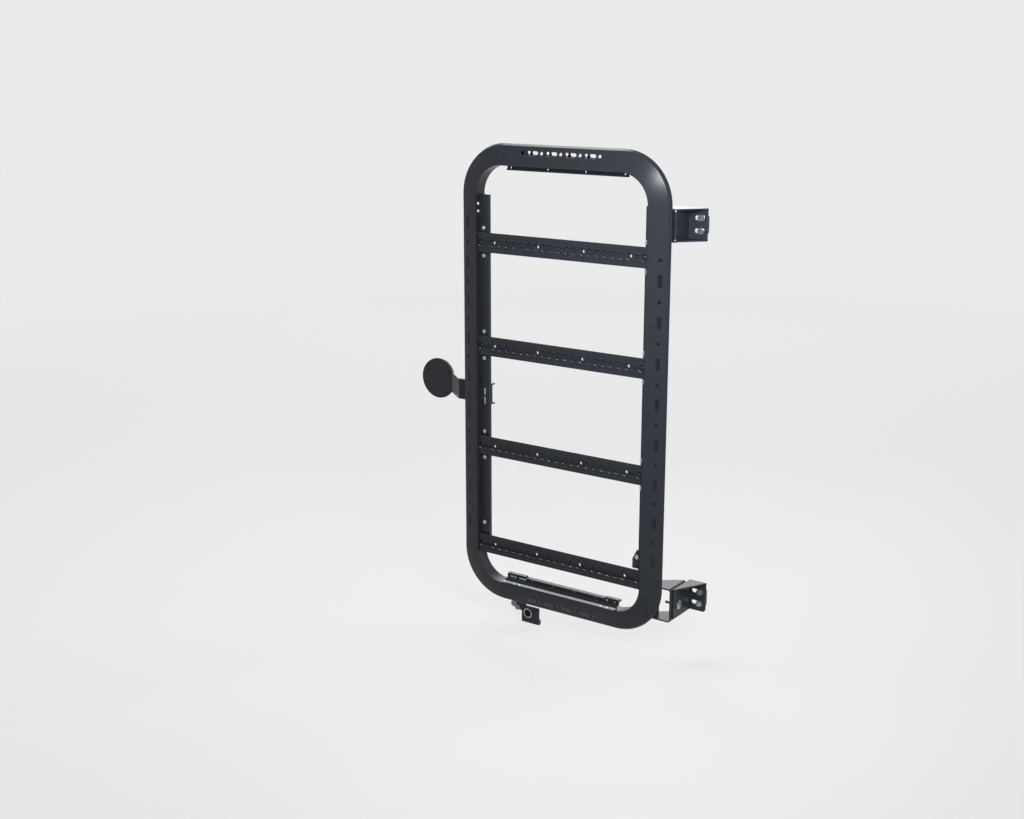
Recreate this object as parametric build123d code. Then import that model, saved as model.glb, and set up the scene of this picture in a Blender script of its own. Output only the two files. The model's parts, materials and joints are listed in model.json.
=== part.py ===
"""Rear door gear rack: a closed hoop of shaped tube with four slotted cross rails, slot rails,
two hinge brackets, a round door plate on an arm and a lower hook bracket.

Rack frame while modelling, in millimetres: X across the door, Y from the front of the hoop
towards the door, Z up from the hoop's lower inner edge. Every node is moved at the end, so that
the origin lies on the back of the upper nut plate, where the rack is bolted to the door hinge.
"""
import os
from math import atan2, cos, degrees, radians, sin, sqrt, tan

from build123d import *

# Hoop
INNER_W = 569.4          # clear width between the uprights
INNER_H = 1256.2         # clear height between the top and bottom tubes
BEND_R = 86.5            # inner radius of the four bends
TUBE_W = 62.3            # tube width, inner wall to outer nose before rounding
TUBE_D = 45.0            # tube depth at the inner wall
TUBE_WALL = 3.0
SHOULDER = (56.2, 16.3)  # outer end of the sloping front face: outward, back
NOSE_BACK = 25.8         # depth of the outermost line
HEEL_OUT = 47.0          # outer end of the flat back
CROWN = 1.0              # bulge of the front face
INNER_EDGE_R = 1.5
OUTER_EDGE_R = 4.0

# Accessory holes along the front of the hoop
HOLE_OUT = 37.5          # from the inner edge, along the width
HOLE_D = 11.0
SLOT_W = 12.0
SLOT_L = 36.0
UPRIGHT_PITCH = 57.0     # round hole to slot
UPRIGHT_FIRST = 173.4    # lowest slot above the lower inner edge
CROSS_PITCH = 31.75      # round hole to slot on the top and bottom tubes
CROSS_SLOT_L = 41.0

# Cross rails
RAIL_H = 58.0
RAIL_T = 13.0            # depth of the body behind the track
RAIL_FLANGE_T = 3.2      # thin flanges above and below the body
RAIL_BODY_H = 34.0
RAIL_FRONT = 6.2         # set back from the hoop's front edge
RAIL_END_GAP = 0.2       # rail's end to the tube's inner wall
RAIL_FROM_TOP = 223.5    # upper rail's centre below the upper inner edge
RAIL_FROM_BOTTOM = 111.5
LAST_EXTRA = 5.0         # the lowest space is this much wider than the others
TRACK_PITCH = 25.4
TRACK_COUNT = 19
TRACK_R = 10.0           # round openings in the track's lips
TRACK_SLOT = 10.4        # opening between the lips
TRACK_CAVITY = 21.0
TRACK_LIP = 2.8
TRACK_FLOOR = 6.4
RAIL_HOLE_D = 9.0
RAIL_HOLE_PITCH = 6 * TRACK_PITCH
GROOVE_AT = 15.5         # shallow line along the rail, from its centre
GROOVE_W = 1.6
GROOVE_D = 0.8
END_BOLT_IN = 11.0       # end bolt's centre from the rail's end

# Upright rails on the side walls: a slot rail on the left, a narrow bar on the right
SLOT_RAIL_T = 11.0
SLOT_RAIL_LIP = 2.5
SLOT_OPENING = 6.6
SLOT_CAVITY = 14.0
SLOT_CAVITY_D = 5.0
SIDE_RAIL_W = 32.0
SIDE_GROOVE = 16.0       # groove's centre from the tube's inner wall
BAR_W = 14.0             # bar on the right wall, hidden behind the tube
NUT_L = 21.0             # slot nuts that hold the arm
NUT_GAP = 13.5

# Bent rails on the top and bottom walls
BENT_GAP = 0.3           # clear of the tube's inner wall, so that the ends pass the bends' start
BENT_T = 2.5
BASE_FRONT = 1.6         # front edge of the base flange
STEP_FRONT = 17.2        # lower step: front face and height
STEP_LOW = 10.3
STEP_BACK = 29.3         # upper step: front face and height
STEP_HIGH = 19.6
BOTTOM_RAIL_IN = 5.2     # left end inside the bend's start
BOTTOM_RAIL_OVER = 4.8   # right end past the bend's start
TOP_RAIL_OVER = 3.3      # both ends past the bends' start
TOP_LEG_FRONT = 30.0
TOP_STRIP_FRONT = 41.5
TOP_STRIP_DOWN = 15.5
TOP_BEAD_FRONT = 38.0
TOP_BEAD_H = 5.0
TOP_HOLE_PITCH = 126.2
TOP_HOLE_D = 5.6
TOP_HOLE_DOWN = 7.8
LEFT_PAD_L = 66.0        # pads on the ends of the bottom rail
RIGHT_PAD_L = 50.0
PAD_T = 3.0

# Bolts on the upright rails and gusset plates on the lowest rail
BOLT_REACH = 40.0        # above and below a rail's centre
BOLT_HEAD_R = 7.0
BOLT_HEAD_H = 4.5
SLOT_BOLT_R = 3.0
SLOT_BOLT_L = 7.0
GUSSET_T = 2.5
GUSSET_H = 56.0
GUSSET_TIP = 18.0        # width at the upper end
GUSSET_BOLT = 35.0       # bolt above the rail's upper edge
BOLT_R = 4.0

# Hinge brackets; places across are measured outward from the tube's inner wall
SHEET = 4.0
HINGE_SLOT_W = 12.0
HINGE_SLOT_L = 32.0
HINGE_BOLT_PITCH = 35.0
HINGE_BOLT_IN = 3.0      # bolts inward of the nut plate's middle
HEX_AF = 17.0
HEX_H = 7.0
NUT_PLATE_T = 8.0
NUT_PLATE_W = 28.0
NUT_PLATE_H = 47.0

UPPER_BASE_OUT = 11.3    # inner end of the base flange behind the tube
UPPER_LID_OUT = 15.3     # inner end of the two lids
UPPER_WALL_OUT = 62.8    # outer face of the wall that runs back
UPPER_FLANGE_OUT = 119.3
UPPER_FLANGE_Y = 117.0   # front face of the hinge flange
UPPER_NUT_IN = 1.0       # nut plate's edge inside the flange's edge
UPPER_SLOT_IN = 8.2      # slots inward of the nut plate's middle
UPPER_FROM_TOP = 137.6   # bracket's middle below the upper inner edge
UPPER_H = 89.0
RELIEF_R = 3.0
RELIEF_IN = 5.0          # relief hole's centre inside the bracket's end

BOX_INNER_OUT = 17.3
BOX_WALL_OUT = 79.9      # outer face of the box bracket
BOX_T = 4.0
BOX_TOP_Z = 88.0
BOX_BOTTOM_Z = -13.0
BOX_BACK_Y = 136.0
BOX_TAPER = 38.0         # the box's inner side is this much shorter
BOX_BASE_D = 40.0
BOX_BEND_R = 9.0
LOWER_FRONT_Y = 56.0
LOWER_FLANGE_Y = 154.2
LOWER_FLANGE_OUT = 133.8
LOWER_NUT_IN = 1.5
LOWER_SLOT_IN = 13.5
LOWER_MID_Z = 38.0
LOWER_TOP_Z = 85.0
LOWER_BOTTOM_Z = -4.0
LOWER_CORNER_R = 9.0
PIVOT_Y = 82.0
PIVOT_Z = 33.0
PIVOT_R = 6.0
PIVOT_AF = 25.0
PIVOT_HEAD_H = 4.0
PIVOT_L = 24.0

# Round door plate and its arm; places across are measured from the left inner wall
DISC_R = 63.0
DISC_OUT = 216.3
DISC_Y = 90.0            # front face of the door plate
DISC_Z = 581.0
DISC_T = 6.0
DISC_ROUND = 2.0
DISC_CAP_R = 59.0
DISC_CAP_T = 2.0
CREASE_UP = 27.0         # fold line above the disc's centre
CREASE_ANGLE = 6.0
TAB_DOWN = 4.5           # tab's middle below the disc's centre
ARM_Z = 571.5
ARM_H = 63.0
ARM_T = 4.0
ARM_GAP = 1.0            # arm's front behind the tube's back
ARM_BEND_OUT = 103.3
ARM_END_IN = 21.7
ARM_LIP = 17.0           # top and bottom flanges, running back
SPACER_IN = 6.0          # spacer's ends inside the arm's edges

# Lower hook bracket
HOOK_X = -119.5
HOOK_W = 63.0
HOOK_TOP_Z = -76.5
HOOK_BOTTOM_Z = -130.5
HOOK_T = 4.0
HOOK_LIP_D = 7.0
HOOK_LIP_H = 15.0
NECK_LEFT_X = -184.0
NECK_W = 43.0
NECK_TOP_Z = -14.0
NECK_LOW = 0.3           # neck's lower end above the tube's outer line
NECK_RUN = 5.0           # width of the short slope right of the neck
NECK_DROP = 19.5         # left slope's lower end below the plate's upper edge
CUP_X = -130.0
CUP_Z = -101.0
CUP_R = 17.5
CUP_WALL = 2.0
CUP_D = 16.0
RING_W = 3.4
RING_GAP = 0.1
RING_FRONT = 1.0
RING_D = 12.0
STUD = (-184.0, -82.0)   # clamp screw left of the neck: place, radius, length
STUD_R = 10.0
STUD_L = 14.0
STUD_NUT = (-172.0, -93.0)
STUD_NUT_R = 7.0
STUD_NUT_L = 20.0
LINK_L = 23.0            # link that carries the screw, behind the plate
LINK_T = 6.0
LINK_H = 10.0

# Sizes that follow from the above
HALF_W = INNER_W / 2
TOP_Z = INNER_H
STRAIGHT_X = INNER_W - 2 * BEND_R
STRAIGHT_Z = INNER_H - 2 * BEND_R
RAIL_BACK = RAIL_FRONT + RAIL_T
RAIL_HALF = HALF_W - RAIL_END_GAP
RAIL_PITCH = (INNER_H - RAIL_FROM_TOP - RAIL_FROM_BOTTOM - LAST_EXTRA) / 3
RAIL_Z = [TOP_Z - RAIL_FROM_TOP - k * RAIL_PITCH for k in range(3)] + [RAIL_FROM_BOTTOM]
SLOT_RAIL_BACK = RAIL_BACK + SLOT_RAIL_T
FRONT_ANGLE = degrees(atan2(SHOULDER[1], SHOULDER[0]))
SIDE_GROOVE_X = HALF_W - SIDE_GROOVE
UPPER_WALL_X = HALF_W + UPPER_WALL_OUT
UPPER_BASE_X = HALF_W + UPPER_BASE_OUT
UPPER_LID_X = HALF_W + UPPER_LID_OUT
UPPER_FLANGE_X = HALF_W + UPPER_FLANGE_OUT
UPPER_MID_Z = TOP_Z - UPPER_FROM_TOP
UPPER_BACK_Y = UPPER_FLANGE_Y + SHEET + NUT_PLATE_T
UPPER_NUT_X = UPPER_FLANGE_X - UPPER_NUT_IN - NUT_PLATE_W / 2
BOX_INNER_X = HALF_W + BOX_INNER_OUT
BOX_WALL_X = HALF_W + BOX_WALL_OUT
LOWER_FLANGE_X = HALF_W + LOWER_FLANGE_OUT
LOWER_NUT_X = LOWER_FLANGE_X - LOWER_NUT_IN - NUT_PLATE_W / 2
DISC_X = -HALF_W - DISC_OUT
TAB_X = DISC_X + sqrt(DISC_R**2 - (ARM_H / 2 + TAB_DOWN)**2)
ARM_Y = TUBE_D + ARM_GAP
ARM_BEND_X = -HALF_W - ARM_BEND_OUT
ARM_END_X = -HALF_W + ARM_END_IN
ORIGIN = (UPPER_NUT_X, UPPER_BACK_Y, UPPER_MID_Z)


# Hoop tube: a closed section with a sloping, slightly crowned front
def hoop_section():
    front_in = (0, 0)
    nose = (TUBE_W, NOSE_BACK)
    heel = (HEEL_OUT, TUBE_D)
    back_in = (0, TUBE_D)
    slope = radians(FRONT_ANGLE)
    middle = (SHOULDER[0] / 2 + CROWN * sin(slope), SHOULDER[1] / 2 - CROWN * cos(slope))
    front = ThreePointArc(front_in, middle, SHOULDER)
    outline = front + Polyline(SHOULDER, nose, heel, back_in, front_in)
    section = make_face(outline)
    inner_edges = section.vertices().group_by(Axis.X)[0]
    section = fillet(inner_edges, INNER_EDGE_R)
    outer_edges = [v for v in section.vertices() if v.X > HEEL_OUT - 1]
    section = fillet(outer_edges, OUTER_EDGE_R)
    return section - offset(section, -TUBE_WALL)


def slot_cutter(along, length, width):
    plane = Plane(origin=(HOLE_OUT, 0, along), x_dir=(0, 0, 1), z_dir=(0, 1, 0))
    outline = SlotOverall(length, width) if length > width else Circle(width / 2)
    return extrude(plane * outline, amount=2 * TUBE_D, both=True)


def straight_tube(length, rounds, slots, slot_length):
    tube = extrude(hoop_section(), amount=length)
    for along in rounds:
        tube -= slot_cutter(along, HOLE_D, HOLE_D)
    for along in slots:
        tube -= slot_cutter(along, slot_length, SLOT_W)
    return tube


def bend(corner_x, corner_z):
    axis = Axis((corner_x - BEND_R, 0, corner_z), (0, -1, 0))
    plane = Plane(origin=(corner_x, 0, corner_z), x_dir=(1, 0, 0), z_dir=(0, 0, 1))
    return revolve(plane * hoop_section(), axis=axis, revolution_arc=90)


upright_levels = [UPRIGHT_FIRST - BEND_R + k * UPRIGHT_PITCH for k in range(17)]
cross_levels = [STRAIGHT_X / 2 + k * CROSS_PITCH for k in range(-4, 5)]
right_plane = Plane(origin=(HALF_W, 0, BEND_R), x_dir=(1, 0, 0), z_dir=(0, 0, 1))
top_plane = Plane(origin=(STRAIGHT_X / 2, 0, TOP_Z), x_dir=(0, 0, 1), z_dir=(-1, 0, 0))
bottom_plane = Plane(origin=(-STRAIGHT_X / 2, 0, 0), x_dir=(0, 0, -1), z_dir=(1, 0, 0))

right_upright = right_plane * straight_tube(
    STRAIGHT_Z, upright_levels[1::2], upright_levels[0:15:2], SLOT_L
)
left_upright = mirror(
    right_plane * straight_tube(STRAIGHT_Z, upright_levels[1::2], upright_levels[0::2], SLOT_L),
    about=Plane.YZ,
)
cross_tube = straight_tube(STRAIGHT_X, cross_levels[0::2], cross_levels[1::2], CROSS_SLOT_L)
top_tube = top_plane * cross_tube
bottom_tube = bottom_plane * cross_tube
bend_top_right = bend(HALF_W, TOP_Z - BEND_R)
bend_top_left = mirror(bend_top_right, about=Plane.YZ)
mid_plane = Plane(origin=(0, 0, INNER_H / 2), z_dir=(0, 0, 1))
bend_bottom_right = mirror(bend_top_right, about=mid_plane)
bend_bottom_left = mirror(bend_bottom_right, about=Plane.YZ)


# Cross rail: a flat extrusion with a lipped track along its middle
def cross_rail(level):
    section = Rectangle(RAIL_FLANGE_T, RAIL_H, align=(Align.MIN, Align.CENTER))
    section = chamfer(section.vertices(), GROOVE_D)
    section += Rectangle(RAIL_T, RAIL_BODY_H, align=(Align.MIN, Align.CENTER))
    section -= Rectangle(TRACK_LIP, TRACK_SLOT, align=(Align.MIN, Align.CENTER))
    cavity_d = RAIL_T - TRACK_LIP - TRACK_FLOOR
    section -= Pos(TRACK_LIP, 0) * Rectangle(cavity_d, TRACK_CAVITY, align=(Align.MIN, Align.CENTER))
    for side in (-1, 1):
        section -= Pos(0, side * GROOVE_AT) * Rectangle(2 * GROOVE_D, GROOVE_W)
    plane = Plane(origin=(-RAIL_HALF, RAIL_FRONT, level), x_dir=(0, 1, 0), z_dir=(1, 0, 0))
    rail = extrude(plane * section, amount=2 * RAIL_HALF)
    front = Plane(origin=(0, RAIL_FRONT, level), x_dir=(1, 0, 0), z_dir=(0, -1, 0))
    end_bolt = RAIL_HALF - END_BOLT_IN
    spots = GridLocations(TRACK_PITCH, 1, TRACK_COUNT, 1).locations
    spots += [Pos(-end_bolt, 0), Pos(end_bolt, 0)]
    round_cut = [spot * Circle(TRACK_R) for spot in spots]
    rail -= extrude(front * Sketch(children=round_cut), amount=-TRACK_LIP)
    holes = GridLocations(RAIL_HOLE_PITCH, 1, 4, 1) * Circle(RAIL_HOLE_D / 2)
    rail -= extrude(front * Sketch(children=holes), amount=-RAIL_T)
    return rail


cross_rails = [cross_rail(level) for level in RAIL_Z]


# Left side rail: a flat extrusion with a T-shaped slot that faces forward
def slot_rail():
    section = Rectangle(SIDE_RAIL_W, SLOT_RAIL_T, align=(Align.MIN, Align.MIN))
    groove = Pos(SIDE_GROOVE, 0)
    section -= groove * Rectangle(SLOT_OPENING, SLOT_RAIL_LIP, align=(Align.CENTER, Align.MIN))
    section -= groove * Pos(0, SLOT_RAIL_LIP) * Rectangle(
        SLOT_CAVITY, SLOT_CAVITY_D, align=(Align.CENTER, Align.MIN)
    )
    return extrude(section, amount=STRAIGHT_Z)


# Round-headed bolt with its head in front of the given depth
def round_bolt(x, front, level):
    plane = Plane(origin=(x, front, level), x_dir=(1, 0, 0), z_dir=(0, -1, 0))
    bolt = extrude(plane * Circle(BOLT_HEAD_R), amount=BOLT_HEAD_H)
    bolt = fillet(bolt.edges().group_by(Axis.Y)[0], BOLT_HEAD_H / 2)
    return bolt + extrude(plane * Circle(SLOT_BOLT_R), amount=-SLOT_BOLT_L)


bolt_levels = [level + side * BOLT_REACH for level in RAIL_Z[:-1] for side in (1, -1)]
side_rail_left = Pos(-HALF_W, RAIL_BACK, BEND_R) * slot_rail()
slot_bolts_left = Compound(
    children=[round_bolt(-SIDE_GROOVE_X, RAIL_BACK, level) for level in bolt_levels]
)
gusset_level = RAIL_Z[-1] + RAIL_H / 2 + GUSSET_BOLT
bar_bolt_x = HALF_W - RAIL_END_GAP - BOLT_HEAD_R
bar_front = Plane(origin=(0, RAIL_BACK, 0), x_dir=(1, 0, 0), z_dir=(0, -1, 0))
bar_spots = [Pos(bar_bolt_x, level) for level in bolt_levels] + [Pos(SIDE_GROOVE_X, gusset_level)]
side_rail_right = Pos(HALF_W, RAIL_BACK, INNER_H / 2) * Box(
    BAR_W, SLOT_RAIL_T, STRAIGHT_Z, align=(Align.MAX, Align.MIN, Align.CENTER)
)
side_rail_right -= extrude(
    bar_front * Sketch(children=[spot * Circle(SLOT_BOLT_R) for spot in bar_spots]), amount=-SLOT_BOLT_L
)
slot_bolts_right = Compound(children=[round_bolt(bar_bolt_x, RAIL_BACK, level) for level in bolt_levels])


# Gusset plates that stand on the lowest rail's ends, one bolt in each
def gusset_plate():
    foot = RAIL_Z[-1] + RAIL_H / 2
    outline = Polyline(
        (-HALF_W, foot), (-HALF_W + SIDE_RAIL_W, foot), (-HALF_W + SIDE_RAIL_W, foot + GUSSET_H / 2),
        (-HALF_W + GUSSET_TIP, foot + GUSSET_H), (-HALF_W, foot + GUSSET_H), close=True,
    )
    plate = make_face(outline) - Pos(-SIDE_GROOVE_X, gusset_level) * Circle(SLOT_BOLT_R)
    return extrude(bar_front * plate, amount=GUSSET_T)


rail_gusset_left = gusset_plate()
rail_gusset_right = mirror(rail_gusset_left, about=Plane.YZ)
gusset_bolt_left = round_bolt(-SIDE_GROOVE_X, RAIL_BACK - GUSSET_T, gusset_level)
gusset_bolt_right = mirror(gusset_bolt_left, about=Plane.YZ)


# Bottom rail: bent sheet that steps up twice from a base flange; points are height, depth
def stepped_rail(length):
    outline = Polyline(
        (BENT_GAP, BASE_FRONT), (BENT_GAP + BENT_T, BASE_FRONT), (BENT_GAP + BENT_T, STEP_FRONT),
        (STEP_LOW, STEP_FRONT), (STEP_LOW, STEP_BACK), (STEP_HIGH, STEP_BACK), (STEP_HIGH, TUBE_D),
        (STEP_HIGH - BENT_T, TUBE_D), (STEP_HIGH - BENT_T, STEP_BACK + BENT_T),
        (STEP_LOW - BENT_T, STEP_BACK + BENT_T), (STEP_LOW - BENT_T, STEP_FRONT + BENT_T),
        (BENT_GAP, STEP_FRONT + BENT_T), close=True,
    )
    return extrude(make_face(outline), amount=length)


# Top rail: a leg under the tube and a strip that hangs at the back with a bead along its edge
def hanging_rail(length):
    bead_top = TOP_STRIP_DOWN - TOP_BEAD_H
    outline = Polyline(
        (BENT_GAP, TOP_LEG_FRONT), (BENT_GAP + BENT_T, TOP_LEG_FRONT), (BENT_GAP + BENT_T, TOP_STRIP_FRONT),
        (bead_top, TOP_STRIP_FRONT), (bead_top, TOP_BEAD_FRONT), (TOP_STRIP_DOWN, TOP_BEAD_FRONT),
        (TOP_STRIP_DOWN, TUBE_D), (BENT_GAP, TUBE_D), close=True,
    )
    return extrude(make_face(outline), amount=length)


def rail_pad(x, length):
    depth = TUBE_D - STEP_BACK - BENT_T
    return Pos(x, TUBE_D, STEP_HIGH) * Box(length, depth, PAD_T, align=(Align.MIN, Align.MAX, Align.MIN))


top_rail_end = STRAIGHT_X / 2 + TOP_RAIL_OVER
bottom_left = -STRAIGHT_X / 2 + BOTTOM_RAIL_IN
bottom_right = STRAIGHT_X / 2 + BOTTOM_RAIL_OVER
under_top = Plane(origin=(-top_rail_end, 0, TOP_Z), x_dir=(0, 0, -1), z_dir=(1, 0, 0))
over_bottom = Plane(origin=(bottom_right, 0, 0), x_dir=(0, 0, 1), z_dir=(-1, 0, 0))
top_holes = GridLocations(TOP_HOLE_PITCH, 1, 4, 1) * Circle(TOP_HOLE_D / 2)
top_hole_plane = Plane(origin=(0, 0, TOP_Z - TOP_HOLE_DOWN), x_dir=(1, 0, 0), z_dir=(0, -1, 0))
top_rail = under_top * hanging_rail(2 * top_rail_end)
top_rail -= extrude(top_hole_plane * Sketch(children=top_holes), amount=-TUBE_D)
bottom_rail = over_bottom * stepped_rail(bottom_right - bottom_left)
rail_pad_left = rail_pad(bottom_left, LEFT_PAD_L)
rail_pad_right = rail_pad(bottom_right - RIGHT_PAD_L, RIGHT_PAD_L)


# Folded hinge bracket: wall running back, flange across, lids with a sloping edge on the ends
def lid(inner_x, wall_x, front_y, flange_x, flange_y, bottom):
    outline = Polyline(
        (inner_x, front_y), (wall_x, front_y), (flange_x, flange_y), (flange_x, flange_y + SHEET),
        (inner_x, flange_y + SHEET), close=True,
    )
    return extrude(Pos(0, 0, bottom) * make_face(outline), amount=SHEET)


def hinge_slots(flange_y, slot_x, mid_z):
    plane = Plane(origin=(slot_x, flange_y, mid_z), x_dir=(1, 0, 0), z_dir=(0, -1, 0))
    slots = GridLocations(1, HINGE_BOLT_PITCH, 1, 2) * SlotOverall(HINGE_SLOT_L, HINGE_SLOT_W)
    return extrude(plane * Sketch(children=slots), amount=-SHEET)


def nut_plate(nut_x, flange_y, mid_z):
    plane = Plane(origin=(nut_x, flange_y + SHEET, mid_z), x_dir=(1, 0, 0), z_dir=(0, -1, 0))
    plate = extrude(plane * RectangleRounded(NUT_PLATE_W, NUT_PLATE_H, 2), amount=-NUT_PLATE_T)
    holes = Pos(-HINGE_BOLT_IN, 0) * GridLocations(1, HINGE_BOLT_PITCH, 1, 2) * Circle(BOLT_R)
    return plate - extrude(plane * Sketch(children=holes), amount=1 - NUT_PLATE_T)


def hinge_bolts(nut_x, flange_y, mid_z):
    plane = Plane(origin=(nut_x - HINGE_BOLT_IN, flange_y, mid_z), x_dir=(1, 0, 0), z_dir=(0, -1, 0))
    parts = []
    for spot in GridLocations(1, HINGE_BOLT_PITCH, 1, 2):
        washer = extrude(plane * spot * Circle(HEX_AF * 0.58), amount=1.5)
        head = extrude(plane * spot * RegularPolygon(HEX_AF / 2, 6, major_radius=False), amount=HEX_H)
        shank = extrude(plane * spot * Circle(BOLT_R), amount=1 - SHEET - NUT_PLATE_T)
        parts.append(washer + head + shank)
    return Compound(children=parts)


def upper_bracket():
    bottom = UPPER_MID_Z - UPPER_H / 2
    wall_in = UPPER_WALL_X - SHEET
    path = Polyline(
        (UPPER_BASE_X, TUBE_D), (UPPER_WALL_X, TUBE_D), (UPPER_WALL_X, UPPER_FLANGE_Y),
        (UPPER_FLANGE_X, UPPER_FLANGE_Y), (UPPER_FLANGE_X, UPPER_FLANGE_Y + SHEET),
        (wall_in, UPPER_FLANGE_Y + SHEET), (wall_in, TUBE_D + SHEET), (UPPER_BASE_X, TUBE_D + SHEET),
        close=True,
    )
    bracket = extrude(Pos(0, 0, bottom) * make_face(path), amount=UPPER_H)
    folds = bracket.edges().filter_by(Axis.Z)
    outside = [e for e in folds if e.center().X == UPPER_WALL_X and e.center().Y < UPPER_FLANGE_Y]
    bracket = fillet(outside, SHEET - 0.5)
    lid_front = TUBE_D + 3 * SHEET
    for level in (bottom, bottom + UPPER_H - SHEET):
        bracket += lid(UPPER_LID_X, UPPER_WALL_X, lid_front, UPPER_FLANGE_X - 2, UPPER_FLANGE_Y, level)
    bracket -= hinge_slots(UPPER_FLANGE_Y, UPPER_NUT_X - UPPER_SLOT_IN, UPPER_MID_Z)
    for level in (bottom + RELIEF_IN, bottom + UPPER_H - RELIEF_IN):
        relief = Plane(origin=(UPPER_WALL_X, TUBE_D, level), x_dir=(0, 0, 1), z_dir=(1, -1, 0))
        bracket -= extrude(relief * Circle(RELIEF_R), amount=3 * SHEET, both=True)
    return bracket


upper_hinge_bracket = upper_bracket()
upper_nut_plate = nut_plate(UPPER_NUT_X, UPPER_FLANGE_Y, UPPER_MID_Z)
upper_hinge_bolts = hinge_bolts(UPPER_NUT_X, UPPER_FLANGE_Y, UPPER_MID_Z)


# Lower hinge: a bent box bracket behind the tube and a hinge bracket bolted to its wall
def box_bracket():
    height = BOX_TOP_Z - BOX_BOTTOM_Z
    width = BOX_WALL_X - BOX_INNER_X
    middle = (BOX_TOP_Z + BOX_BOTTOM_Z) / 2
    outer = Pos(BOX_INNER_X, middle) * Rectangle(width, height, align=(Align.MIN, Align.CENTER))
    outer = fillet(outer.vertices().group_by(Axis.X)[-1], BOX_BEND_R)
    inner = Pos(BOX_INNER_X, middle) * Rectangle(
        width - BOX_T, height - 2 * BOX_T, align=(Align.MIN, Align.CENTER)
    )
    inner = fillet(inner.vertices().group_by(Axis.X)[-1], BOX_BEND_R - BOX_T)
    plane = Plane(origin=(0, TUBE_D, 0), x_dir=(1, 0, 0), z_dir=(0, -1, 0))
    bracket = extrude(plane * (outer - inner), amount=TUBE_D - BOX_BACK_Y)
    taper = Polyline(
        (BOX_INNER_X, BOX_BACK_Y), (BOX_WALL_X - BOX_BEND_R, BOX_BACK_Y),
        (BOX_INNER_X, BOX_BACK_Y - BOX_TAPER), close=True,
    )
    bracket -= extrude(Pos(0, 0, BOX_BOTTOM_Z) * make_face(taper), amount=height)
    base = Pos(BOX_INNER_X, middle) * Rectangle(
        BOX_T, height - 2 * BOX_T, align=(Align.MIN, Align.CENTER)
    )
    bracket += extrude(plane * base, amount=-BOX_BASE_D)
    hole = Plane(origin=(0, PIVOT_Y, PIVOT_Z), x_dir=(0, 1, 0), z_dir=(1, 0, 0))
    return bracket - extrude(hole * Circle(PIVOT_R), amount=2 * BOX_WALL_X)


def lower_bracket():
    wall_out = BOX_WALL_X + SHEET
    path = Polyline(
        (BOX_WALL_X, LOWER_FRONT_Y), (wall_out, LOWER_FRONT_Y), (wall_out, LOWER_FLANGE_Y),
        (LOWER_FLANGE_X, LOWER_FLANGE_Y), (LOWER_FLANGE_X, LOWER_FLANGE_Y + SHEET),
        (BOX_WALL_X, LOWER_FLANGE_Y + SHEET), close=True,
    )
    bracket = extrude(Pos(0, 0, LOWER_BOTTOM_Z) * make_face(path), amount=LOWER_TOP_Z - LOWER_BOTTOM_Z)
    corner = bracket.edges().filter_by(Axis.Y).group_by(Axis.Z)[0].sort_by(Axis.X)[-1]
    bracket = fillet(corner, LOWER_CORNER_R)
    bracket += lid(
        BOX_WALL_X, wall_out, LOWER_FRONT_Y + SHEET, LOWER_FLANGE_X - 1, LOWER_FLANGE_Y, LOWER_TOP_Z - SHEET
    )
    bracket -= hinge_slots(LOWER_FLANGE_Y, LOWER_NUT_X - LOWER_SLOT_IN, LOWER_MID_Z)
    hole = Plane(origin=(0, PIVOT_Y, PIVOT_Z), x_dir=(0, 1, 0), z_dir=(1, 0, 0))
    return bracket - extrude(hole * Circle(PIVOT_R), amount=2 * BOX_WALL_X)


lower_box_bracket = box_bracket()
lower_hinge_bracket = lower_bracket()
lower_nut_plate = nut_plate(LOWER_NUT_X, LOWER_FLANGE_Y, LOWER_MID_Z)
lower_hinge_bolts = hinge_bolts(LOWER_NUT_X, LOWER_FLANGE_Y, LOWER_MID_Z)
pivot_plane = Plane(origin=(BOX_WALL_X + SHEET, PIVOT_Y, PIVOT_Z), x_dir=(0, 1, 0), z_dir=(1, 0, 0))
pivot_hex = RegularPolygon(PIVOT_AF / 2, 6, major_radius=False, rotation=30)
pivot_bolt = (
    extrude(pivot_plane * pivot_hex, amount=PIVOT_HEAD_H)
    + extrude(pivot_plane * Circle(PIVOT_R), amount=-PIVOT_L)
)


# Round door plate: a disc with a slightly folded top, and a tab that steps forward to the arm
def door_plate():
    crease = DISC_Z + CREASE_UP
    low, high = DISC_Z - 2 * DISC_R, crease + DISC_R
    lean = DISC_R * tan(radians(CREASE_ANGLE))
    across = Plane(origin=(DISC_X, DISC_Y, 0), x_dir=(0, 1, 0), z_dir=(1, 0, 0))
    folded = Polyline(
        (0, low), (0, crease), (lean, high), (lean + DISC_T, high), (DISC_T, crease), (DISC_T, low), close=True
    )
    sheet = extrude(across * make_face(folded), amount=2 * DISC_R, both=True)
    front = Plane(origin=(DISC_X, DISC_Y, DISC_Z), x_dir=(1, 0, 0), z_dir=(0, -1, 0))
    disc = sheet & extrude(front * Circle(DISC_R), amount=DISC_R, both=True)
    curved = disc.edges().filter_by(GeomType.LINE, reverse=True)
    rim = [edge for edge in curved if edge.center().Y < DISC_Y + DISC_T / 2 + lean / 4]
    disc = fillet(rim, DISC_ROUND)
    tab_ends = []
    for x, y, z in ((TAB_X, DISC_Y, DISC_Z - TAB_DOWN), (ARM_BEND_X, ARM_Y, ARM_Z)):
        across = Plane(origin=(x, y, z), x_dir=(0, 1, 0), z_dir=(1, 0, 0))
        tab_ends.append(across * Rectangle(ARM_T, ARM_H, align=(Align.MIN, Align.CENTER)))
    return disc + loft(tab_ends, ruled=True)


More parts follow.
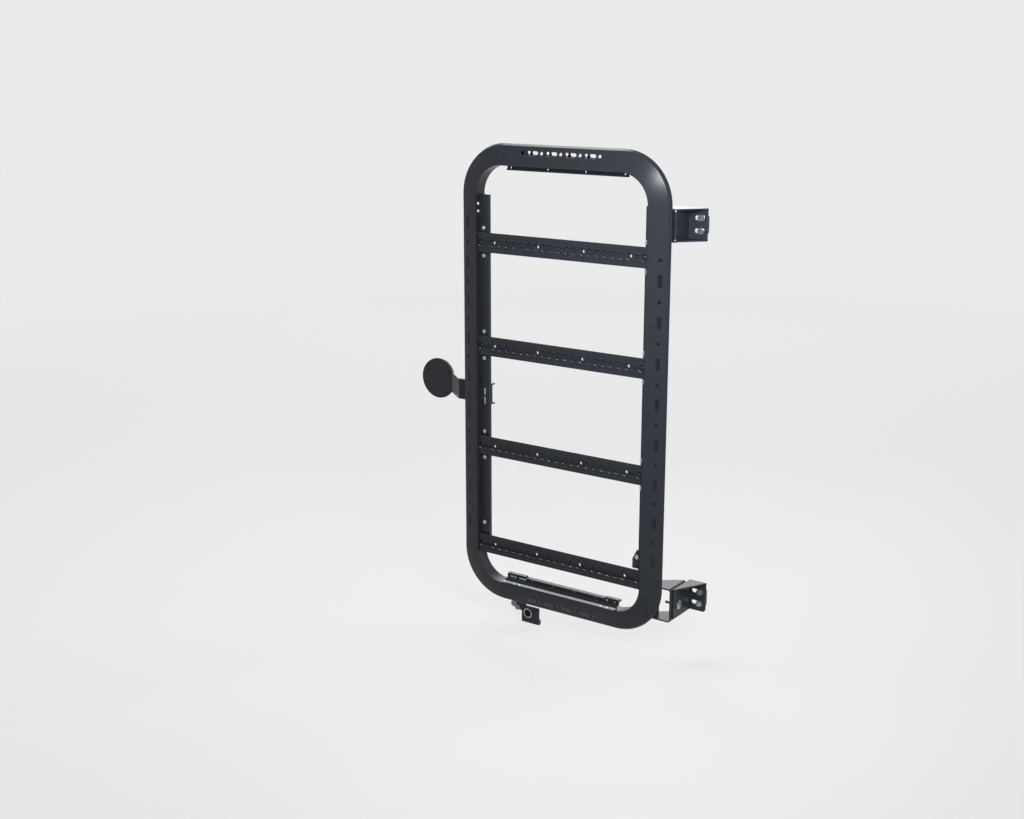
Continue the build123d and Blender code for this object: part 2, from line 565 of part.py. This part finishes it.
def disc_cap():
    plane = Plane(origin=(DISC_X, DISC_Y, DISC_Z), x_dir=(1, 0, 0), z_dir=(0, -1, 0))
    disc = Circle(DISC_CAP_R)
    upper = Pos(0, CREASE_UP) * Rectangle(2 * DISC_R, 2 * DISC_R, align=(Align.CENTER, Align.MIN))
    tab_side = Pos(TAB_X - DISC_X, 0) * Rectangle(DISC_R, 2 * DISC_R, align=(Align.MIN, Align.CENTER))
    return extrude(plane * (disc - upper - tab_side), amount=DISC_CAP_T)


def arm_channel():
    front = Plane(origin=(ARM_BEND_X, ARM_Y, ARM_Z), x_dir=(0, 1, 0), z_dir=(1, 0, 0))
    outer = Rectangle(ARM_LIP, ARM_H, align=(Align.MIN, Align.CENTER))
    inner = Pos(ARM_T, 0) * Rectangle(ARM_LIP, ARM_H - 2 * ARM_T, align=(Align.MIN, Align.CENTER))
    channel = extrude(front * (outer - inner), amount=ARM_END_X - ARM_BEND_X)
    return fillet(channel.edges().filter_by(Axis.X).group_by(Axis.Y)[0], ARM_T - 1)


door_plate_disc = door_plate()
door_plate_cap = disc_cap()
arm = arm_channel()
spacer_w = 2 * (ARM_END_X + SIDE_GROOVE_X)
arm_spacer = Pos(-SIDE_GROOVE_X, SLOT_RAIL_BACK, ARM_Z) * Box(
    spacer_w, ARM_Y - SLOT_RAIL_BACK, ARM_H - 2 * SPACER_IN, align=(Align.CENTER, Align.MIN, Align.CENTER)
)


# Slot nuts: flat bars that fill the slot where a bracket is clamped from behind
def slot_nut(length):
    neck = Rectangle(SLOT_OPENING - 0.6, SLOT_RAIL_LIP, align=(Align.CENTER, Align.MIN))
    foot = Pos(0, SLOT_RAIL_LIP) * Rectangle(
        SLOT_CAVITY - 1, SLOT_CAVITY_D - 1, align=(Align.CENTER, Align.MIN)
    )
    return extrude(neck + foot, amount=length / 2, both=True)


arm_slot_nuts = Compound(children=[
    Pos(-SIDE_GROOVE_X, RAIL_BACK, ARM_Z + side * NUT_GAP) * slot_nut(NUT_L) for side in (-1, 1)
])


# Hook bracket that hangs below the bottom tube, with a cup pressed back from its plate
behind_tube = Plane(origin=(0, TUBE_D, 0), x_dir=(1, 0, 0), z_dir=(0, -1, 0))


def hook():
    left = HOOK_X - HOOK_W / 2
    right = HOOK_X + HOOK_W / 2
    neck_right = NECK_LEFT_X + NECK_W
    neck_low = NECK_LOW - TUBE_W
    outline = Polyline(
        (NECK_LEFT_X, NECK_TOP_Z), (neck_right, NECK_TOP_Z), (neck_right, neck_low),
        (neck_right + NECK_RUN, HOOK_TOP_Z), (right, HOOK_TOP_Z), (right, HOOK_BOTTOM_Z),
        (left, HOOK_BOTTOM_Z), (left, HOOK_TOP_Z - NECK_DROP), (NECK_LEFT_X, neck_low), close=True,
    )
    cup = Pos(CUP_X, CUP_Z)
    bracket = extrude(behind_tube * (make_face(outline) - cup * Circle(CUP_R)), amount=-HOOK_T)
    bracket += extrude(behind_tube * cup * Circle(CUP_R), amount=-CUP_D)
    bracket -= extrude(behind_tube * cup * Circle(CUP_R - CUP_WALL), amount=CUP_WALL - CUP_D)
    lip = Pos(right - HOOK_T, TUBE_D, HOOK_BOTTOM_Z) * Box(
        HOOK_T, HOOK_T + HOOK_LIP_D, HOOK_LIP_H, align=(Align.MIN, Align.MIN, Align.MIN)
    )
    return bracket + lip


hook_bracket = hook()
ring_out = CUP_R - CUP_WALL - RING_GAP
ring_plane = Plane(origin=(CUP_X, TUBE_D + RING_FRONT, CUP_Z), x_dir=(1, 0, 0), z_dir=(0, -1, 0))
hook_ring = extrude(ring_plane * (Circle(ring_out) - Circle(ring_out - RING_W)), amount=-RING_D)
behind_hook = behind_tube.offset(-HOOK_T)
link = Pos(STUD_NUT) * Rectangle(LINK_L, LINK_H, align=(Align.MIN, Align.CENTER))
clamp_stud = (
    extrude(behind_hook * Pos(STUD) * Circle(STUD_R), amount=-STUD_L)
    + extrude(behind_hook * Pos(STUD_NUT) * Circle(STUD_NUT_R), amount=-STUD_NUT_L)
    + extrude(behind_hook * link, amount=-LINK_T)
)


nodes = {
    "top_tube": top_tube,
    "bottom_tube": bottom_tube,
    "left_upright": left_upright,
    "right_upright": right_upright,
    "bend_top_left": bend_top_left,
    "bend_top_right": bend_top_right,
    "bend_bottom_left": bend_bottom_left,
    "bend_bottom_right": bend_bottom_right,
    "side_rail_left": side_rail_left,
    "side_rail_right": side_rail_right,
    "top_rail": top_rail,
    "bottom_rail": bottom_rail,
    "slot_bolts_left": slot_bolts_left,
    "slot_bolts_right": slot_bolts_right,
    "rail_gusset_left": rail_gusset_left,
    "rail_gusset_right": rail_gusset_right,
    "gusset_bolt_left": gusset_bolt_left,
    "gusset_bolt_right": gusset_bolt_right,
    "rail_pad_left": rail_pad_left,
    "rail_pad_right": rail_pad_right,
    "upper_hinge_bracket": upper_hinge_bracket,
    "upper_nut_plate": upper_nut_plate,
    "upper_hinge_bolts": upper_hinge_bolts,
    "lower_box_bracket": lower_box_bracket,
    "lower_hinge_bracket": lower_hinge_bracket,
    "lower_nut_plate": lower_nut_plate,
    "lower_hinge_bolts": lower_hinge_bolts,
    "pivot_bolt": pivot_bolt,
    "door_plate_disc": door_plate_disc,
    "door_plate_cap": door_plate_cap,
    "arm": arm,
    "arm_spacer": arm_spacer,
    "arm_slot_nuts": arm_slot_nuts,
    "hook_bracket": hook_bracket,
    "hook_ring": hook_ring,
    "clamp_stud": clamp_stud,
}
for number, rail in enumerate(cross_rails, start=1):
    nodes[f"cross_rail_{number}"] = rail

os.makedirs("parts", exist_ok=True)
to_origin = Pos(-ORIGIN[0], -ORIGIN[1], -ORIGIN[2])
for name, shape in nodes.items():
    export_step(to_origin * shape, f"parts/{name}.step")
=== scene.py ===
"""Rear door gear rack: looks, small fasteners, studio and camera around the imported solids."""
import json
import math

import bmesh
import bpy
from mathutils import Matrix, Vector


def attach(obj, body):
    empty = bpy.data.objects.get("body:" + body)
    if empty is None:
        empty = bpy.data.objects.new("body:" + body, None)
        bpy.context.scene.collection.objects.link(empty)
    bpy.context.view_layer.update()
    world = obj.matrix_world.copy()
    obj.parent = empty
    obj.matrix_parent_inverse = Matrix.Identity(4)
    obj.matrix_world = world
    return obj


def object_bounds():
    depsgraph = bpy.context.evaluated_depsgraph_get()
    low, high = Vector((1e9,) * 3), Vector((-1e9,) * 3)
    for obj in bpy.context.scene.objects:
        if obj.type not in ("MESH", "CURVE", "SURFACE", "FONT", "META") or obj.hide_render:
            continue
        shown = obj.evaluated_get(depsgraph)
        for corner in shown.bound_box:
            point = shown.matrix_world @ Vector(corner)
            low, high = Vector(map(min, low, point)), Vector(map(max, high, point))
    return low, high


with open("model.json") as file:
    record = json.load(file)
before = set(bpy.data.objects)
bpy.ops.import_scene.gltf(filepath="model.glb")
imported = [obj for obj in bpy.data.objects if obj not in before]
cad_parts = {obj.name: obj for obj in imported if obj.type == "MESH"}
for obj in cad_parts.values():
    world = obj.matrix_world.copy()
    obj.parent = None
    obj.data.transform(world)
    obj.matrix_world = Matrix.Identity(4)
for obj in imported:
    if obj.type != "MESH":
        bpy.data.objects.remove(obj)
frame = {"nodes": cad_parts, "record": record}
cad_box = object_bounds()
nodes = frame["nodes"]
scene = bpy.context.scene

# Rack frame to row frame, in metres: the row's origin is the middle of the upper nut plate's back
ORIGIN = Vector((0.389, 0.129, 1.1186))
MM = 1000.0


def place(x, y, z):
    """A point given in the rack's own millimetres, in row metres."""
    return Vector((x, y, z)) / MM - ORIGIN


# Materials
COAT_SWING = 0.03
STEEL_SWING = 0.06
GRAIN_DEPTH = 0.0002
STEEL_EDGE = 0.0005


def shader(name):
    """A new material with its node tree and main shader."""
    material = bpy.data.materials.new(name)
    material.use_nodes = True
    tree = material.node_tree
    return material, tree, tree.nodes["Principled BSDF"]


def node(tree, kind, **values):
    """A new node; each value is one of its settings, or else one of its sockets."""
    made = tree.nodes.new(kind)
    for key, value in values.items():
        if hasattr(made, key):
            setattr(made, key, value)
        else:
            made.inputs[key.replace("_", " ")].default_value = value
    return made


def drive_tone(tree, bsdf, noise, dark, light):
    """Base colour that drifts between two tones."""
    tone = node(tree, "ShaderNodeMix", data_type="RGBA")
    tone.inputs["A"].default_value = (*dark, 1)
    tone.inputs["B"].default_value = (*light, 1)
    tree.links.new(noise.outputs["Fac"], tone.inputs["Factor"])
    tree.links.new(tone.outputs["Result"], bsdf.inputs["Base Color"])


def drive_gloss(tree, bsdf, noise, rough, swing, **limits):
    """Roughness that varies a little about its middle value."""
    gloss = node(tree, "ShaderNodeMapRange", To_Min=rough - swing, To_Max=rough + swing, **limits)
    tree.links.new(noise.outputs["Fac"], gloss.inputs["Value"])
    tree.links.new(gloss.outputs["Result"], bsdf.inputs["Roughness"])


def coat(name, dark, light, rough, grain, gleam, soft=0.0012):
    """Satin powder coat: fine grain in the relief, slow drifts in tone and gloss, edges softened."""
    material, tree, bsdf = shader(name)
    link = tree.links.new
    where = node(tree, "ShaderNodeTexCoord")
    drift = node(tree, "ShaderNodeTexNoise", Scale=9.0, Detail=3.0)
    fine = node(tree, "ShaderNodeTexNoise", Scale=1300.0, Detail=2.0)
    link(where.outputs["Object"], drift.inputs["Vector"])
    link(where.outputs["Object"], fine.inputs["Vector"])
    drive_tone(tree, bsdf, drift, dark, light)
    drive_gloss(tree, bsdf, fine, rough, COAT_SWING, From_Min=0.3, From_Max=0.7)
    relief = node(tree, "ShaderNodeBump", Strength=grain, Distance=GRAIN_DEPTH)
    link(fine.outputs["Fac"], relief.inputs["Height"])
    edge = node(tree, "ShaderNodeBevel", samples=4, Radius=soft)
    link(edge.outputs["Normal"], relief.inputs["Normal"])
    link(relief.outputs["Normal"], bsdf.inputs["Normal"])
    bsdf.inputs["Specular IOR Level"].default_value = gleam
    return material


def bore_coat(name, scatter):
    """Coat inside a closed tube; the dim light that scatters about in there stands as emission."""
    dark, light = (0.018, 0.021, 0.026), (0.022, 0.026, 0.032)
    material = coat(name, dark, light, rough=0.50, grain=0.08, gleam=0.20)
    bsdf = material.node_tree.nodes["Principled BSDF"]
    bsdf.inputs["Emission Color"].default_value = (*scatter, 1)
    bsdf.inputs["Emission Strength"].default_value = 1.0
    return material


def steel(name, dark, light, rough):
    """Plain stainless with fine brushed streaks."""
    material, tree, bsdf = shader(name)
    link = tree.links.new
    where = node(tree, "ShaderNodeTexCoord")
    stretch = node(tree, "ShaderNodeMapping", Scale=(400, 400, 4000))
    streak = node(tree, "ShaderNodeTexNoise", Scale=1.0, Detail=3.0)
    link(where.outputs["Object"], stretch.inputs["Vector"])
    link(stretch.outputs["Vector"], streak.inputs["Vector"])
    drive_tone(tree, bsdf, streak, dark, light)
    drive_gloss(tree, bsdf, streak, rough, STEEL_SWING)
    edge = node(tree, "ShaderNodeBevel", samples=4, Radius=STEEL_EDGE)
    link(edge.outputs["Normal"], bsdf.inputs["Normal"])
    bsdf.inputs["Metallic"].default_value = 1.0
    return material


TUBE = coat("tube_coat", (0.0145, 0.0164, 0.0208), (0.0182, 0.0205, 0.0260),
            rough=0.25, grain=0.08, gleam=0.16)
RAIL = coat("rail_coat", (0.0150, 0.0170, 0.0215), (0.0188, 0.0212, 0.0268),
            rough=0.28, grain=0.06, gleam=0.16, soft=0.0017)
SHEET = coat("sheet_coat", (0.0170, 0.0190, 0.0240), (0.0210, 0.0236, 0.0298),
             rough=0.28, grain=0.08, gleam=0.16, soft=0.0016)
BLACK = coat("black_oxide", (0.006, 0.007, 0.010), (0.010, 0.012, 0.016),
             rough=0.20, grain=0.06, gleam=0.60)
# Painted highlight: a light coat on upward faces (the bottom rail's base flange, the lower edges of the
# track openings) that stands in for the light they catch
SHEEN_PAINT = coat("painted_sheen", (0.30, 0.31, 0.32), (0.38, 0.39, 0.40),
            rough=0.40, grain=0.05, gleam=0.50, soft=0.0004)
# Painted highlight: a lighter coat for the door plate's rim and sloping tab, where the rim catches light
RIM_HIGHLIGHT_PAINT = coat("painted_rim_highlight", (0.080, 0.086, 0.096), (0.105, 0.112, 0.124),
           rough=0.26, grain=0.05, gleam=0.40, soft=0.0004)
BORE = bore_coat("tube_bore", (0.019, 0.0215, 0.026))
LOW_BORE = bore_coat("low_tube_bore", (0.044, 0.049, 0.057))
BRIGHT_STEEL = steel("bright_steel", (0.72, 0.74, 0.76), (0.82, 0.84, 0.86), rough=0.26)
DARK_STEEL = steel("dark_steel", (0.10, 0.11, 0.12), (0.20, 0.21, 0.23), rough=0.36)
STEEL = steel("plain_steel", (0.31, 0.33, 0.36), (0.42, 0.45, 0.48), rough=0.30)

BY_SLOT = {"coated_tube": TUBE, "coated_rail": RAIL, "coated_sheet": SHEET, "steel": STEEL}

for part in frame["record"]["subparts"]:
    piece = nodes[part["node"]]
    piece.data.materials.clear()
    piece.data.materials.append(BY_SLOT[part["material_slot"]])

# Sizes of the rack in millimetres, as in the part's source
HALF_W = 284.7
TOP_Z = 1256.2
RAIL_Z = (1032.7, 727.3, 421.9, 111.5)
RAIL_FRONT = 6.2
RAIL_BACK = 19.2
TRACK_LIP = 2.8

# Middle of the tube's hollow, out from its inner wall and back from its front
HOLLOW_OUT = 27.0
HOLLOW_BACK = 23.0

# Limits that pick out faces by place (millimetres) and normal
BORE_REACH = 10.0
BORE_ALONG = 0.2
SCALLOP_NEAR = 7.5
SCALLOP_FAR = 11.0
SCALLOP_UP = 0.7
GROOVE_DEPTH = 3.0
BASE_HIGH = 4.0
FACE_ON = 0.9
DISC_FACE_ON = 0.88


def repaint(name, material, chosen):
    """Give a second material to the faces that the test picks by place and normal."""
    mesh = nodes[name].data
    mesh.materials.append(material)
    for polygon in mesh.polygons:
        if chosen((polygon.center + ORIGIN) * MM, polygon.normal):
            polygon.material_index = len(mesh.materials) - 1


def in_bore(across, up):
    """Test for the inside of a straight tube: faces that look towards the middle of its hollow."""
    wall = HALF_W if across else max(up, 0) * TOP_Z

    def chosen(spot, normal):
        out = across * spot.x + up * spot.z - wall
        facing = across * normal.x + up * normal.z
        inward = (HOLLOW_OUT - out) * facing + (HOLLOW_BACK - spot.y) * normal.y
        along = abs(normal.z if across else normal.x)
        return inward > BORE_REACH and along < BORE_ALONG

    return chosen


def on_scallop(level):
    """Test for the lower edges of the round openings in a cross rail's track."""
    def chosen(spot, normal):
        in_lip = spot.y < RAIL_FRONT + TRACK_LIP
        return in_lip and normal.z > SCALLOP_UP and SCALLOP_NEAR < level - spot.z < SCALLOP_FAR

    return chosen


def on_groove_floor(spot, normal):
    """Test for the floor of the left rail's slot."""
    return normal.y < -FACE_ON and spot.y > RAIL_BACK + GROOVE_DEPTH


def on_base(spot, normal):
    """Test for the top of the bottom rail's base flange."""
    return normal.z > FACE_ON and spot.z < BASE_HIGH


def on_disc_rim(spot, normal):
    """Test for the door plate's rim and sloping tab."""
    return abs(normal.y) < DISC_FACE_ON


repaint("left_upright", BORE, in_bore(-1, 0))
repaint("right_upright", BORE, in_bore(1, 0))
repaint("bottom_tube", LOW_BORE, in_bore(0, -1))
# Painted light: the slot floor gets the glowing tube-inside coat, which lifts the shade in the slot
repaint("side_rail_left", BORE, on_groove_floor)
# Painted highlight on the top of the bottom rail's base flange
repaint("bottom_rail", SHEEN_PAINT, on_base)
# Painted highlight on the door plate's rim and sloping tab
repaint("door_plate_disc", RIM_HIGHLIGHT_PAINT, on_disc_rim)
# Painted highlight on the lower edges of each cross rail's track openings
for number, level in enumerate(RAIL_Z, 1):
    repaint(f"cross_rail_{number}", SHEEN_PAINT, on_scallop(level))
nodes["clamp_stud"].data.materials[0] = DARK_STEEL

# Small fasteners, in rack millimetres
SIDES = 28
CREASE = math.radians(38)
RIGHT = (1, 0, 0)
LEFT = (-1, 0, 0)
FORWARD = (0, -1, 0)
UP = (0, 0, 1)


def turned(mesh, centre, axis, profile):
    """Revolve (radius, height) points about an axis through the centre."""
    axis = Vector(axis)
    side = axis.orthogonal().normalized()
    other = axis.cross(side)
    rings = []
    for radius, height in profile:
        middle = Vector(centre) + axis * height
        ring = []
        for k in range(SIDES if radius else 1):
            angle = 2 * math.pi * k / SIDES
            spot = middle + radius * (math.cos(angle) * side + math.sin(angle) * other)
            ring.append(mesh.verts.new(place(*spot)))
        rings.append(ring)
    for low, high in zip(rings, rings[1:]):
        for k in range(SIDES):
            j = (k + 1) % SIDES
            corners = [low[k % len(low)], low[j % len(low)], high[j % len(high)], high[k % len(high)]]
            mesh.faces.new(list(dict.fromkeys(corners)))


def block(mesh, low, high, edge):
    """A box between two points with rounded edges."""
    low, high = Vector(low), Vector(high)
    made = bmesh.ops.create_cube(mesh, size=1.0)["verts"]
    for vert in made:
        share = vert.co + Vector((0.5, 0.5, 0.5))
        vert.co = place(*(low[i] + share[i] * (high[i] - low[i]) for i in range(3)))
    edges = list({e for vert in made for e in vert.link_edges})
    bmesh.ops.bevel(mesh, geom=edges, offset=edge / MM, segments=2, profile=0.5, affect="EDGES")


def finish_piece(name, mesh, material):
    """Make a visible piece of the finished mesh and tie it to the rack."""
    bmesh.ops.recalc_face_normals(mesh, faces=mesh.faces)
    data = bpy.data.meshes.new(name)
    mesh.to_mesh(data)
    mesh.free()
    data.materials.append(material)
    for polygon in data.polygons:
        polygon.use_smooth = True
    data.set_sharp_from_angle(angle=CREASE)
    made = bpy.data.objects.new(name, data)
    scene.collection.objects.link(made)
    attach(made, "root")


def button(radius, height):
    """Outline of a round head with a socket in its middle, as shares of its radius and height."""
    shares = [
        (0, 0), (1, 0), (1, 0.2), (0.94, 0.5), (0.76, 0.82), (0.5, 1), (0.36, 1), (0.36, 0.45), (0, 0.4),
    ]
    return [(out * radius, up * height) for out, up in shares]


def heads(name, spots, axis, radius, height, material=STEEL):
    """One piece with a round head at each spot."""
    mesh = bmesh.new()
    for spot in spots:
        turned(mesh, spot, axis, button(radius, height))
    finish_piece(name, mesh, material)


WALL_BOLTS = [(-HALF_W, 13.2, z) for z in (1143.2, 1121.6)]
END_BOLTS = [(x, 12.8, z) for z in RAIL_Z for x in (-273.5, 273.5)]
BASE_BOLTS = [(x, 6.2, 2.8) for x in (-151.0, -131.0, 157.6, 179.0)]
WEB_BOLTS = [(x, 29.3, 14.4) for x in (163.0, 190.0)]
WEB_RIVETS = [(x, 29.3, 14.6) for x in (-101.0, -26.0, 49.0, 124.0)]
heads("wall_bolts", WALL_BOLTS, RIGHT, radius=6.2, height=4.2, material=BRIGHT_STEEL)
heads("rail_end_bolts", END_BOLTS, FORWARD, radius=6.2, height=4.0, material=BLACK)
heads("base_bolts", BASE_BOLTS, UP, radius=4.2, height=2.6, material=BRIGHT_STEEL)
heads("web_bolts", WEB_BOLTS, FORWARD, radius=3.4, height=2.2)
heads("web_rivets", WEB_RIVETS, FORWARD, radius=1.7, height=0.9)

# End of the pivot bolt, past the wall of the lower box
PIVOT_END = (342.0, 82.0, 33.0)
PIVOT_OUTLINE = [(0, 0), (4.4, 0), (4.4, 7.5), (5.2, 8.0), (5.2, 12.0), (4.0, 13.0), (0, 13.0)]
tip = bmesh.new()
turned(tip, PIVOT_END, LEFT, PIVOT_OUTLINE)
finish_piece("pivot_bolt_end", tip, BRIGHT_STEEL)

# Nuts in the bottom rail's slot, under the left pad
NUT_SPANS = ((-184.0, -158.0), (-150.0, -122.0))
NUT_FRONT = 27.6
NUT_BACK = 29.2
NUT_LOW = 10.6
NUT_HIGH = 16.8
NUT_EDGE = 0.5
bars = bmesh.new()
for left, right in NUT_SPANS:
    block(bars, (left, NUT_FRONT, NUT_LOW), (right, NUT_BACK, NUT_HIGH), NUT_EDGE)
finish_piece("bottom_slot_nuts", bars, STEEL)

# Studio, in metres: pale floor that keeps a soft shadow, pale surround, soft lamps
FLOOR_TONE = (0.823, 0.831, 0.831, 1)
FLOOR_SHADE = (0.74, 0.74, 0.74, 1)
FLOOR_BOUNCE = (0.5, 0.5, 0.5, 1)
FLOOR_Z = cad_box[0].z - 0.012
FLOOR_R = 46.0
FLOOR_SIDES = 96
SHADE_SHARE = 0.18
SHADE_NEAR = 2.0
SHADE_FAR = 7.0
SKY_TONE = (0.815, 0.823, 0.831, 1)
SKY_LIGHT = (0.92, 0.96, 1.0, 1)
SKY_STRENGTH = 0.08

# Camera fitted to the photo
CAMERA_AT = (1.7919, -3.4339, 0.4660)
CAMERA_TILT = math.radians(75.655)
CAMERA_TURN = math.radians(35.264)
LENS = 50.0
SENSOR_W = 36.0
CLIP_END = 800.0


def camera_mix(tree, seen, real, out):
    """Camera, glossy and transmission rays get the first shader, all others the second."""
    link = tree.links.new
    path = tree.nodes.new("ShaderNodeLightPath")
    camera_or_glossy = node(tree, "ShaderNodeMath", operation="MAXIMUM")
    any_seen = node(tree, "ShaderNodeMath", operation="MAXIMUM")
    link(path.outputs["Is Camera Ray"], camera_or_glossy.inputs[0])
    link(path.outputs["Is Glossy Ray"], camera_or_glossy.inputs[1])
    link(camera_or_glossy.outputs[0], any_seen.inputs[0])
    link(path.outputs["Is Transmission Ray"], any_seen.inputs[1])
    mix = tree.nodes.new("ShaderNodeMixShader")
    link(any_seen.outputs[0], mix.inputs["Fac"])
    link(real, mix.inputs[1])
    link(seen, mix.inputs[2])
    link(mix.outputs[0], out)


def make_world():
    """Pale to the eye, a faint even light to the rest."""
    world = bpy.data.worlds.new("studio")
    world.use_nodes = True
    scene.world = world
    tree = world.node_tree
    seen = tree.nodes["Background"]
    seen.inputs["Color"].default_value = SKY_TONE
    real = node(tree, "ShaderNodeBackground", Strength=SKY_STRENGTH)
    real.inputs["Color"].default_value = SKY_LIGHT
    camera_mix(tree, seen.outputs[0], real.outputs[0], tree.nodes["World Output"].inputs["Surface"])


def make_floor():
    """A wide disc below the rack; near its middle a share of its tone takes light and shadow."""
    mesh = bpy.data.meshes.new("floor")
    middle_x, middle_y, _ = CAMERA_AT
    rim = []
    for k in range(FLOOR_SIDES):
        angle = 2 * math.pi * k / FLOOR_SIDES
        rim.append((middle_x + FLOOR_R * math.cos(angle), middle_y + FLOOR_R * math.sin(angle), FLOOR_Z))
    mesh.from_pydata(rim, [], [tuple(range(FLOOR_SIDES))])
    floor = bpy.data.objects.new("floor", mesh)
    scene.collection.objects.link(floor)
    material, tree, bsdf = shader("pale_floor")
    tree.nodes.remove(bsdf)
    link = tree.links.new
    matt = node(tree, "ShaderNodeBsdfDiffuse", Color=FLOOR_BOUNCE)
    glow = node(tree, "ShaderNodeEmission", Color=FLOOR_TONE)
    shade = node(tree, "ShaderNodeBsdfDiffuse", Color=FLOOR_SHADE)
    where = node(tree, "ShaderNodeTexCoord")
    reach = node(tree, "ShaderNodeVectorMath", operation="LENGTH")
    fade = node(tree, "ShaderNodeMapRange", From_Min=SHADE_NEAR, From_Max=SHADE_FAR,
                To_Min=SHADE_SHARE, To_Max=0.0)
    part = tree.nodes.new("ShaderNodeMixShader")
    link(where.outputs["Object"], reach.inputs[0])
    link(reach.outputs["Value"], fade.inputs["Value"])
    link(fade.outputs["Result"], part.inputs["Fac"])
    link(glow.outputs[0], part.inputs[1])
    link(shade.outputs[0], part.inputs[2])
    camera_mix(tree, part.outputs[0], matt.outputs[0], tree.nodes["Material Output"].inputs["Surface"])
    mesh.materials.append(material)


def lamp(name, where, at, size, watts, tint=(1, 1, 1), glossy=True, spread=180):
    """A rectangular lamp at one rack place that looks at another; its size is in metres."""
    data = bpy.data.lights.new(name, "AREA")
    data.shape = "RECTANGLE"
    data.size, data.size_y = size
    data.energy = watts
    data.color = tint
    data.spread = math.radians(spread)
    made = bpy.data.objects.new(name, data)
    made.location = place(*where)
    made.rotation_euler = (place(*at) - place(*where)).to_track_quat("-Z", "Y").to_euler()
    made.visible_camera = False
    made.visible_glossy = glossy
    scene.collection.objects.link(made)


make_world()
make_floor()
lamp("key", where=(1500, -1200, 1500), at=(60, 30, 620), size=(0.7, 0.9), watts=15.5,
     glossy=False, spread=100)
lamp("overhead", where=(-1700, 100, 4200), at=(0, 0, 1000), size=(3.0, 1.2), watts=130)
lamp("side", where=(2400, -2400, 350), at=(380, 100, 150), size=(0.8, 0.8), watts=3.0,
     glossy=False, spread=50)
lamp("soft_box", where=(760, -4000, 2560), at=(300, 10, 1260), size=(0.9, 0.9), watts=4.2,
     tint=(0.93, 0.96, 1.0), spread=20)
lamp("back", where=(1800, 3200, 1700), at=(0, 60, 700), size=(1.6, 1.6), watts=18,
     glossy=False, spread=60)
lamp("rim", where=(-3000, 4500, 2600), at=(0, 30, 630), size=(5.0, 3.2), watts=135)

lens = bpy.data.cameras.new("camera")
lens.lens = LENS
lens.sensor_fit = "HORIZONTAL"
lens.sensor_width = SENSOR_W
lens.clip_end = CLIP_END
camera = bpy.data.objects.new("camera", lens)
camera.location = CAMERA_AT
camera.rotation_euler = (CAMERA_TILT, 0, CAMERA_TURN)
scene.collection.objects.link(camera)
scene.camera = camera
scene.view_settings.view_transform = "Standard"
